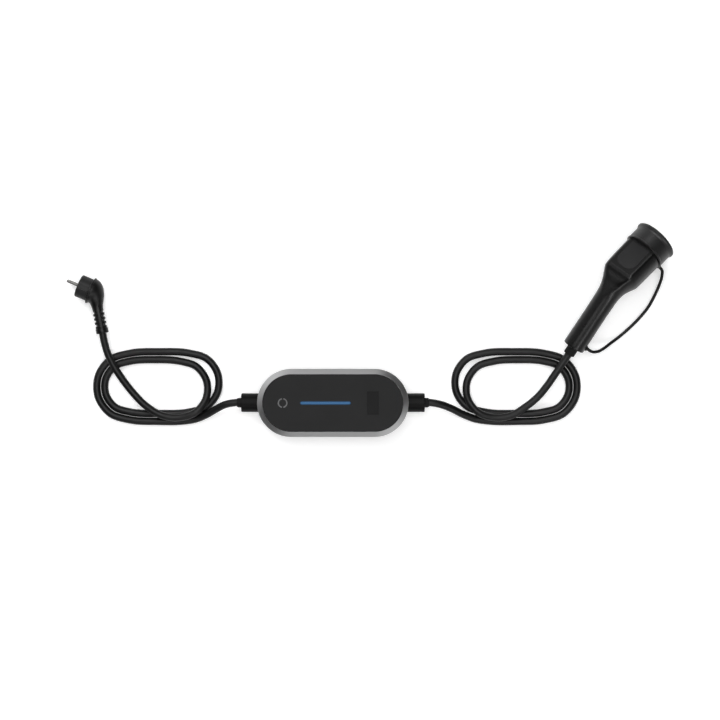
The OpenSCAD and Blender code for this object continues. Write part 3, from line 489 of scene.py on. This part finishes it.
HEAD_STATIONS = [(CREASE_X, 0, HEAD_R - 0.6, FLAT_H), (14, 0, HEAD_R, FLAT_H), (40, 0, HEAD_R + 0.3, FLAT_H),
                 (HEAD_FRONT - 1.4, 0, HEAD_R + 0.4, FLAT_H),
                 (HEAD_FRONT - 0.4, 0, HEAD_R + 0.1, FLAT_H - 0.2),
                 (HEAD_FRONT, 0, HEAD_R - 0.4, FLAT_H - 0.5)]


def fair_stations(stations, steps):
    """In-between stations on one smooth run."""
    run = []
    for i in range(len(stations) - 1):
        p0, p1 = stations[max(i - 1, 0)], stations[i]
        p2, p3 = stations[i + 1], stations[min(i + 2, len(stations) - 1)]
        gap = p2[0] - p1[0]
        for k in range(steps):
            t = k / steps
            station = [p1[0] + t * gap]
            for n in (1, 2, 3):
                m1 = (p2[n] - p0[n]) / (p2[0] - p0[0]) * gap
                m2 = (p3[n] - p1[n]) / (p3[0] - p1[0]) * gap
                station.append(p1[n] * (2 * t**3 - 3 * t**2 + 1) + m1 * (t**3 - 2 * t**2 + t)
                               + p2[n] * (3 * t**2 - 2 * t**3) + m2 * (t**3 - t**2))
            run.append(station)
    run.append(list(stations[-1]))
    return run


def soft_min(a, b, width):
    """Lower of two heights, with the corner between them rounded over a width."""
    return min(a, b) - max(width - abs(a - b), 0) ** 2 / (4 * width)


def housing_half(name, start, upper):
    """Half of the connector's housing: a hollow loft with a fine groove along its joint."""
    steps = 56
    bm = bmesh.new()
    rings = []
    for s, share, r, flat in fair_stations(NECK_STATIONS, 6)[:-1] + fair_stations(HEAD_STATIONS, 5):
        centre = handle_point(-s) if s < 0 else Vector((s, 0, 0))
        tilt = math.radians(BEND * share)
        loop = []
        for inset, order in ((0.0, range(steps + 1)), (SHELL_T, range(steps, -1, -1))):
            for i in order:
                a = math.radians(start + 180 * i / steps)
                groove = JOINT_GROOVE if inset == 0 and i in (0, steps) else 0.0
                rad = r - inset - groove
                u = rad * math.cos(a)
                v = rad * math.sin(a)
                if upper and flat < r - 0.05:
                    rounding = min(2.2 + 0.3 * min(max(CREASE_X - s, 0), 16), 1.4 * (r - flat))
                    v = soft_min(v, flat - inset, rounding) if inset == 0 else min(v, flat - inset)
                point = centre + Vector((-v * math.sin(tilt), u, v * math.cos(tilt)))
                loop.append(bm.verts.new((connector_frame @ point) * MM))
        rings.append(loop)
    bridge_rings(bm, rings)
    count = len(rings[0])
    for ring in (rings[0], rings[-1]):
        for i in range(steps):
            bm.faces.new((ring[i], ring[i + 1], ring[count - 2 - i], ring[count - 1 - i]))
    return mesh_piece(name, bm, 18)


housing_top = dress(housing_half("housing_top", 0, True), connector_satin)
housing_under = dress(housing_half("housing_under", 180, False), connector_satin)
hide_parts("connector_upper_shell")
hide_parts("connector_lower_shell")


# Bare plate on the head's flat, from near the crease to the cap

PLATE_BACK, PLATE_FRONT = CREASE_X + 4.8, HEAD_FRONT - 1.2
PLATE_W, PLATE_CORNER = 35.0, 14.0


def plate_loop(bm, inset, z):
    """Ring of vertices on the plate's outline: square at the cap, round towards the handle."""
    front, half, r = PLATE_FRONT - inset, PLATE_W / 2 - inset, PLATE_CORNER - inset
    outline = [(front, -half), (front, half)]
    for side, start in ((1, 90), (-1, 180)):
        for k in range(25):
            a = math.radians(start + 90 * k / 24)
            outline.append((PLATE_BACK + PLATE_CORNER + r * math.cos(a),
                            side * (PLATE_W / 2 - PLATE_CORNER) + r * math.sin(a)))
    return [bm.verts.new((connector_frame @ Vector((x, y, z))) * MM) for x, y in outline]


def bare_plate():
    bm = bmesh.new()
    rings = [plate_loop(bm, inset, FLAT_H + h) for inset, h in ((0, 0), (0, 0.5), (0.1, 0.7), (0.3, 0.8))]
    bridge_rings(bm, rings)
    bm.faces.new(rings[0])
    bm.faces.new(rings[-1])
    return mesh_piece("bare_plate", bm, 30)


plate = dress(bare_plate(), plate_matte)
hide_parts("badge_plate")


# Wall plug: grip, elbow and ribbed boot in one skin

GROOVE_R, WEB_R = 7.4, 8.9
WEB_START, WEB_BLEND = 0.7, 0.16
ELBOW_SIDES = 56


def spun(bm, frame_at, profile, web_r=0.0, sides=64):
    """Turned form about a frame's X axis from [distance, radius] pairs, grooves filled above and below."""
    rings = []
    for x, r in profile:
        ring = []
        for k in range(sides):
            a = 2 * math.pi * k / sides
            t = min(max((abs(math.sin(a)) - WEB_START) / WEB_BLEND, 0), 1)
            fill = max(web_r - r, 0) * t * t * (3 - 2 * t) if r >= GROOVE_R else 0
            point = Vector((x, (r + fill) * math.cos(a), (r + fill) * math.sin(a)))
            ring.append(bm.verts.new((frame_at @ point) * MM))
        rings.append(ring)
    bridge_rings(bm, rings)
    bm.faces.new(rings[0])
    bm.faces.new(rings[-1])


# Place of the elbow's middle, the way it faces and its radius
ELBOW = [(-22.6, 0, 180, 20.6), (-25, 0.4, 175, 20.2), (-29, 2.2, 163, 18.4), (-33, 6.5, 146, 15),
         (-36.5, 12, 131, 11.6), (-40, 18.6, BOOT_ANGLE, 9.3), (-42.2, 21.9, BOOT_ANGLE, 8.9)]


def plug_grip():
    bm = bmesh.new()
    up = Vector((0, 0, 1))
    line = eased([(x, y, 0) for x, y, _, _ in ELBOW], 6)
    sizes = eased([(i, a, r) for i, (_, _, a, r) in enumerate(ELBOW)], 6)
    rings = []
    for at, (_, angle, r) in zip(line, sizes):
        facing = math.radians(angle / MM)
        side = Vector((-math.sin(facing), math.cos(facing), 0))
        ring = []
        for k in range(ELBOW_SIDES):
            t = 2 * math.pi * k / ELBOW_SIDES
            point = at / MM + r / MM * (math.cos(t) * side + math.sin(t) * up)
            ring.append(bm.verts.new((plug_frame @ point) * MM))
        rings.append(ring)
    bridge_rings(bm, rings)
    bm.faces.new(rings[0])
    bm.faces.new(rings[-1])
    flange = [(-20, 20.7), (-20.2, 21.2), (-20.8, 21.5), (-21.9, 21.5), (-22.5, 21.2), (-22.9, 20.5)]
    spun(bm, plug_frame, flange)
    boot = plug_frame @ Matrix.Translation(NECK_AT) @ Matrix.Rotation(math.radians(BOOT_ANGLE), 4, "Z")
    profile = [(1, 8.9), (4, 8.8), (8, 8.7), (8.7, 8.5)]
    for i in range(4):
        x = 9 + 6.9 * i
        profile += [(x, 7.7), (x + 0.4, 7.4), (x + 2.2, 7.4), (x + 2.6, 7.7), (x + 2.8, 8.7), (x + 3.2, 9.2),
                    (x + 3.6, 9.3), (x + 5.9, 9.3), (x + 6.3, 9.2), (x + 6.7, 8.7)]
    profile += [(36.7, 9.4), (37, 9.8), (37.4, 9.9), (43.4, 9.9), (44.1, 9.6), (BOOT_LENGTH, 9.0),
                (BOOT_LENGTH, 6.05), (BOOT_LENGTH - 6, 6.05)]
    spun(bm, boot, profile, WEB_R)
    return mesh_piece("plug_grip", bm, 35)


grip = dress(plug_grip(), plug_soft)
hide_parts("plug_body")


# Control box

def slot_loop(bm, r, z, bend=40, run=14):
    """Ring of vertices round the box's slot outline, at one distance from its middle line."""
    loop = []
    for side in (1, -1):
        for k in range(bend + 1):
            a = math.radians(180 * k / bend - 90 * side)
            loop.append((side * BOX_HALF_RUN + r * math.cos(a), r * math.sin(a)))
        end = loop[-1][1]
        loop += [(side * BOX_HALF_RUN * (1 - 2 * k / run), end) for k in range(1, run)]
    return [bm.verts.new((x * MM, y * MM, z * MM)) for x, y in loop]


def slot_band(name, section, smooth=35):
    """Closed section swept round the slot outline, from [distance, height] pairs."""
    bm = bmesh.new()
    loops = [slot_loop(bm, r, z) for r, z in section]
    bridge_rings(bm, loops + loops[:1])
    return mesh_piece(name, bm, smooth)


def bezel_section():
    """Upright skirt, softly crowned slope and crisp inner edge, down to the ledge that carries the panel."""
    low, high = Vector((53.7, 48.3)), Vector((45.72, 53.98))
    out = Vector((high.y - low.y, low.x - high.x)).normalized()
    slope = []
    for k in range(9):
        t = k / 8
        slope.append(tuple(low.lerp(high, t) + out * 0.08 * 4 * t * (1 - t)))
    skirt = [(51.4, SPLIT_HEIGHT), (53.6, SPLIT_HEIGHT), (53.9, 42.12), (BOX_END_R, 42.4), (BOX_END_R, 47.6),
             (53.98, 47.9), (53.88, 48.15)]
    ledge = [(45.7, 53.9), (45.7, 50.0), (38.0, 50.0), (38.0, 46.0), (51.0, 46.0), (51.0, 42.3)]
    return skirt + slope + ledge


bezel_band = dress(slot_band("bezel_band", bezel_section()), bezel_satin)
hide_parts("bezel_frame")


def small_slot(bm, length, width, z, bend=16):
    """Ring of vertices on a round-ended outline lying flat on the panel."""
    r, half = width / 2, (length - width) / 2
    return [bm.verts.new(((x + r * math.cos(a)) * MM, r * math.sin(a) * MM, z * MM))
            for x, start in ((half, -90), (-half, 90))
            for a in (math.radians(start + 180 * k / bend) for k in range(bend + 1))]


def painted_glow_finish():
    """Painted glow: blue light that the bar throws on the panel round it, painted as colour and emission,
    fading to the panel's own tone.
    """
    material, tree, shader = finish_base("painted_halo_glow")
    surface = use(tree, GRAIN, Scale=1500.0)
    reach = add(tree, "ShaderNodeAttribute", attribute_name="reach")
    fade = add(tree, "ShaderNodeMapRange", interpolation_type="SMOOTHSTEP")
    tree.links.new(reach.outputs["Fac"], fade.inputs["Value"])
    # Painted light: blue spill from the bar, strongest next to it, fading to the panel's grey
    colour = tone(tree, fade.outputs["Result"], (0.014, 0.034, 0.062), grey(37))
    glow = tone(tree, fade.outputs["Result"], (0.002, 0.012, 0.03), (0, 0, 0))
    bump = add(tree, "ShaderNodeBump")
    bump.inputs["Strength"].default_value = 0.04
    bump.inputs["Distance"].default_value = 0.0002
    tree.links.new(surface.outputs["Height"], bump.inputs["Height"])
    tree.links.new(bump.outputs["Normal"], shader.inputs["Normal"])
    tree.links.new(colour, shader.inputs["Base Color"])
    tree.links.new(glow, shader.inputs["Emission Color"])
    tree.links.new(between(tree, surface.outputs["Mottle"], 0.58, 0.66), shader.inputs["Roughness"])
    shader.inputs["Emission Strength"].default_value = 0.8
    shader.inputs["Specular IOR Level"].default_value = 0.1
    return material


HALO_W = 1.8


def painted_bar_halo():
    """Thin sheet round the light bar that carries its painted glow: lit at its inner edge, fading where its
    outer edge meets the panel.
    """
    bm = bmesh.new()
    steps = [(0.25, 0.02), (0.6, 0.03), (1.1, 0.03), (1.5, 0.025), (HALO_W, 0.0)]
    loops = [small_slot(bm, BAR_L + 2 * d, BAR_W + 2 * d, PANEL_TOP + h) for d, h in steps]
    under = [small_slot(bm, BAR_L + 2 * d, BAR_W + 2 * d, PANEL_TOP - 0.02) for d in (HALO_W, 0.25)]
    bridge_rings(bm, loops + under + loops[:1])
    bmesh.ops.translate(bm, verts=bm.verts, vec=(BAR_X * MM, 0, 0))
    halo = mesh_piece("painted_bar_halo", bm)
    reach = halo.data.attributes.new("reach", "FLOAT", "POINT")
    shares = [d / HALO_W for d, _ in steps] + [1.0, 0.1]
    per_loop = len(halo.data.vertices) // len(shares)
    for i, share in enumerate(shares):
        for k in range(per_loop):
            reach.data[i * per_loop + k].value = share
    return halo


# Painted blue glow of the light bar on the panel round it
dress(painted_bar_halo(), painted_glow_finish())


# Cords and the cap's tether, in place of the imported ones

plug_cord = dress(plug_cord, jacket_satin)
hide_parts("plug_cable")
connector_cord = dress(connector_cord, jacket_satin)
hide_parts("connector_cable")
paint(cap_tether, tether_rubber)
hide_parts("tether")
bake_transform(cap_tether)


# Studio: pale floor, soft boxes above the object, a dim grey room

FLOOR_HALF, FLOOR_Z, FLOOR_GLOW = 9.0, -0.0004, 0.34
ROOM_LEVEL, ROOM_LEAST = 0.21, 0.03
ROOM_TERMS = (("X", "Y", -0.95), ("X", "X", -0.06), ("Y", "Y", 0.25), ("Z", "Z", -0.1),
              ("X", None, -0.09), ("Y", None, 0.03))


def pale_floor():
    bm = bmesh.new()
    corners = ((-1, -1), (1, -1), (1, 1), (-1, 1))
    bm.faces.new([bm.verts.new((x * FLOOR_HALF, y * FLOOR_HALF, FLOOR_Z)) for x, y in corners])
    floor = mesh_piece("pale_floor", bm)
    material, tree, shader = finish_base("floor_paper")
    shader.inputs["Base Color"].default_value = (0.86, 0.86, 0.86, 1)
    shader.inputs["Roughness"].default_value = 0.9
    shader.inputs["Specular IOR Level"].default_value = 0.05
    shader.inputs["Emission Color"].default_value = (1, 1, 1, 1)
    tree.links.new(seen_rays(tree, FLOOR_GLOW), shader.inputs["Emission Strength"])
    paint(floor, material)


def seen_rays(tree, strength):
    """A strength for rays that come from the camera, a mirror or glass, and none for the rest."""
    path = add(tree, "ShaderNodeLightPath")
    total = path.outputs["Is Camera Ray"]
    for label in ("Is Glossy Ray", "Is Transmission Ray"):
        both = add(tree, "ShaderNodeMath", operation="MAXIMUM")
        tree.links.new(total, both.inputs[0])
        tree.links.new(path.outputs[label], both.inputs[1])
        total = both.outputs[0]
    scaled = add(tree, "ShaderNodeMath", operation="MULTIPLY")
    scaled.inputs[1].default_value = strength
    tree.links.new(total, scaled.inputs[0])
    return scaled.outputs[0]


def soft_box(name, at, aim, size, power):
    data = bpy.data.lights.new(name, "AREA")
    data.shape = "RECTANGLE"
    data.size, data.size_y = size
    data.energy = power
    lamp = bpy.data.objects.new(name, data)
    lamp.location = at
    lamp.rotation_euler = (Vector(aim) - Vector(at)).to_track_quat("-Z", "Y").to_euler()
    scene.collection.objects.link(lamp)


def studio_world():
    """Soft grey room: brighter towards two opposite corners, dimmer towards the other two and overhead."""
    world = bpy.data.worlds.new("studio_world")
    scene.world = world
    world.use_nodes = True
    tree = world.node_tree
    where = add(tree, "ShaderNodeTexCoord")
    part = add(tree, "ShaderNodeSeparateXYZ")
    tree.links.new(where.outputs["Generated"], part.inputs["Vector"])
    total = None
    for one, other, share in ROOM_TERMS:
        factor = part.outputs[one]
        if other:
            product = add(tree, "ShaderNodeMath", operation="MULTIPLY")
            tree.links.new(part.outputs[one], product.inputs[0])
            tree.links.new(part.outputs[other], product.inputs[1])
            factor = product.outputs[0]
        level = add(tree, "ShaderNodeMath", operation="MULTIPLY_ADD")
        level.inputs[1].default_value = share
        level.inputs[2].default_value = ROOM_LEVEL
        tree.links.new(factor, level.inputs[0])
        if total:
            tree.links.new(total, level.inputs[2])
        total = level.outputs[0]
    least = add(tree, "ShaderNodeMath", operation="MAXIMUM")
    least.inputs[1].default_value = ROOM_LEAST
    tree.links.new(total, least.inputs[0])
    tree.links.new(least.outputs[0], tree.nodes["Background"].inputs["Strength"])
    tree.nodes["Background"].inputs["Color"].default_value = (1, 1, 1, 1)


pale_floor()
studio_world()
soft_box("strip_above", (-0.5, 1.6, 2.2), (0, 0.05, 0), (2.4, 0.6), 28)
soft_box("strip_below", (0.4, -1.7, 2.0), (0, 0.05, 0), (2.4, 0.5), 21)
soft_box("key_above", (0.1, 0.35, 3.9), (0, 0.05, 0), (2.3, 2.3), 75)
